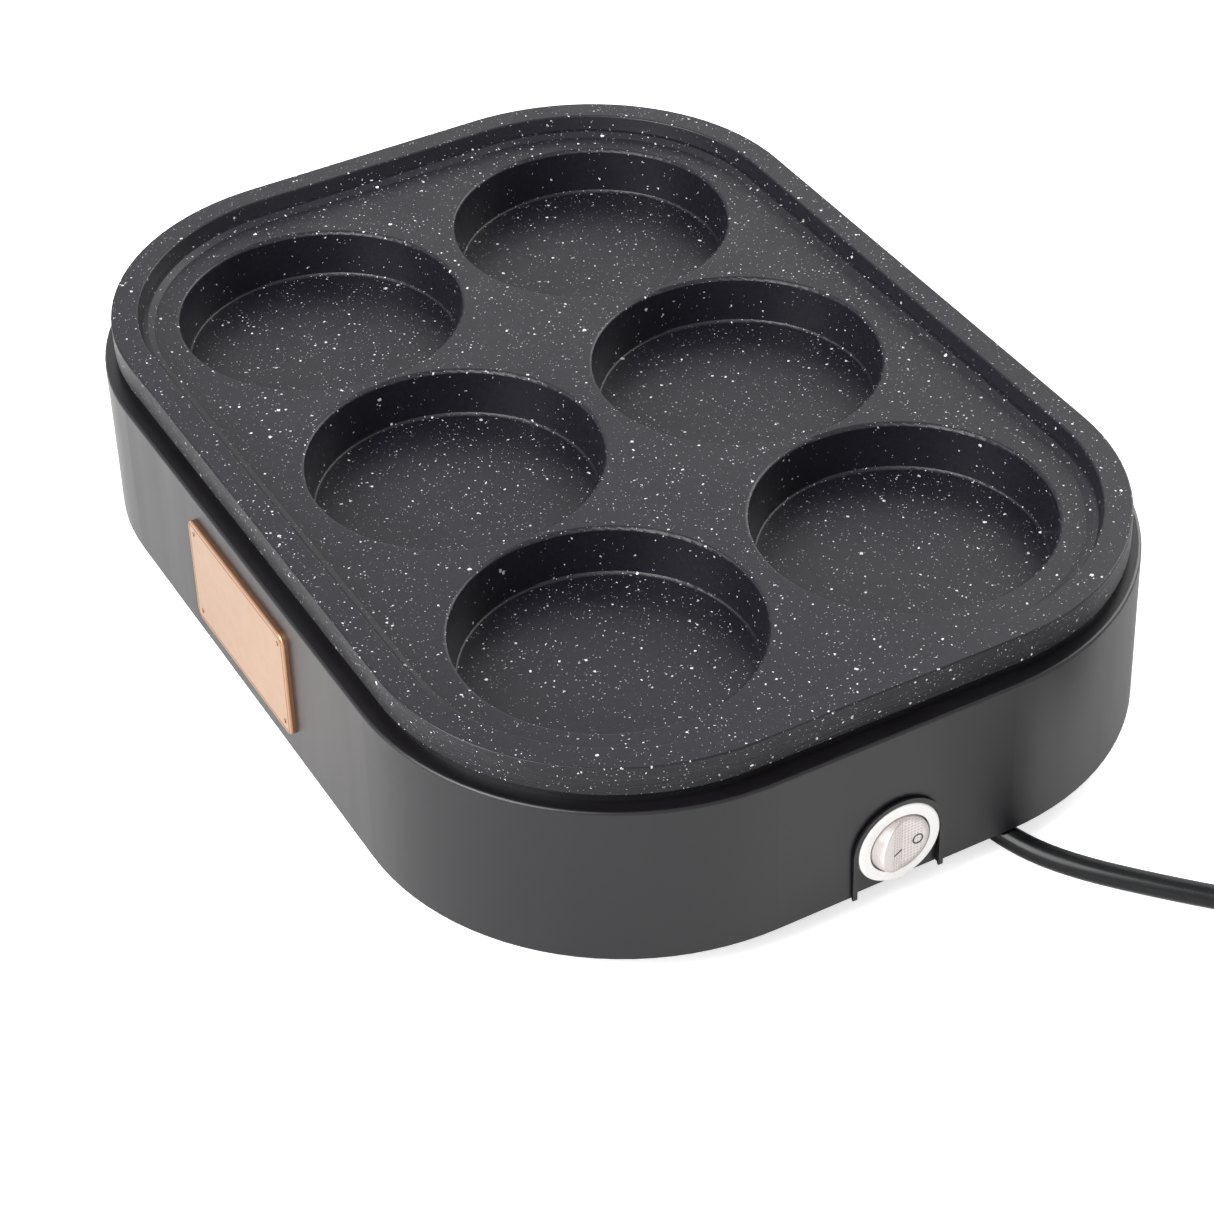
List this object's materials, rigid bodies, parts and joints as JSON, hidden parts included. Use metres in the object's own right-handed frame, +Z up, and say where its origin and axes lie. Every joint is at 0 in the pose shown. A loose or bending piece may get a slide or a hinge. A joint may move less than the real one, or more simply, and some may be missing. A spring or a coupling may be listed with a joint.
{
  "type": "egg frying pan",
  "caption": "Electric egg frying pan: speckled non-stick cast plate with round wells on a low moulded housing, with rocker switch and cord.",
  "frame": {"origin": "on the floor, under the middle of the bounding box of the pan without its loose cord", "axes": "+Z up, Y along the long side with the switch on the -Y side, X across with the badge on the -X side"},
  "size_m": [0.333, 0.3893, 0.0664],
  "materials": {
    "plate_coating": "non-stick coating on cast aluminium, satin, speckled",
    "sheath_steel": "heat-tinted stainless sheath",
    "ceramic": "unglazed ceramic",
    "tinned_steel": "tinned strip",
    "sheet_steel": "pressed zinc-coated sheet",
    "zinc_steel": "zinc-plated",
    "bakelite": "moulded phenolic",
    "glass_fibre": "varnished woven sleeve",
    "shield_coating": "heat-resistant black coating on pressed sheet",
    "housing_plastic": "satin dark grey on moulded plastic",
    "black_plastic": "moulded",
    "rubber": "moulded",
    "white_plastic": "moulded",
    "rocker_plastic": "translucent, fine dot grid",
    "lamp_glass": "clear envelope",
    "badge_copper": "copper-coloured, satin",
    "cord_pvc": "extruded sheath",
    "lead_sleeve": "silicone sleeve",
    "plug_plastic": "moulded",
    "pin_metal": "nickel-plated brass"
  },
  "bodies": {
    "pan": {"cooking_plate": "plate_coating", "heating_element": "sheath_steel", "element_bushes": "ceramic", "element_blades": "tinned_steel", "element_clamps": "sheet_steel", "clamp_screws": "zinc_steel", "thermostat": "bakelite", "thermostat_blades": "tinned_steel", "thermostat_bracket": "sheet_steel", "thermostat_screws": "zinc_steel", "thermal_fuse": "tinned_steel", "fuse_sleeve": "glass_fibre", "fuse_clip": "sheet_steel", "fuse_screw": "zinc_steel", "heat_shield": "shield_coating", "insulating_washers": "ceramic", "plate_screws": "zinc_steel", "earth_tag": "tinned_steel", "earth_screw": "zinc_steel", "housing": "housing_plastic", "bottom_cover": "black_plastic", "rubber_feet": "rubber", "foot_screws": "zinc_steel", "switch_panel": "housing_plastic", "switch_body": "white_plastic", "switch_terminals": "tinned_steel", "switch_lamp": "lamp_glass", "badge": "badge_copper", "badge_pins": "badge_copper", "cord_gland": "rubber", "cord_tail": "cord_pvc", "cord_clamp": "black_plastic", "cord_clamp_screws": "zinc_steel", "cord_cores": "lead_sleeve", "terminal_block": "white_plastic", "terminal_screws": "zinc_steel", "block_screws": "zinc_steel", "lead_live": "lead_sleeve", "lead_switched": "lead_sleeve", "lead_heater": "lead_sleeve", "lead_fused": "lead_sleeve", "lead_neutral": "lead_sleeve", "lead_lamp": "lead_sleeve", "lead_earth": "lead_sleeve", "power_cord": "cord_pvc", "cord_coil": "cord_pvc", "cord_end": "cord_pvc", "plug_body": "plug_plastic", "plug_pins": "pin_metal", "plug_contacts": "pin_metal"},
    "rocker": {"switch_rocker": "rocker_plastic"}
  },
  "joints": [
    {"name": "rocker_tilt", "type": "hinge", "parent": "pan", "child": "rocker", "pos_m": [0.00081, -0.14477, 0.0208], "axis": [0, 0, -1], "range_deg": [0, 22]}
  ]
}
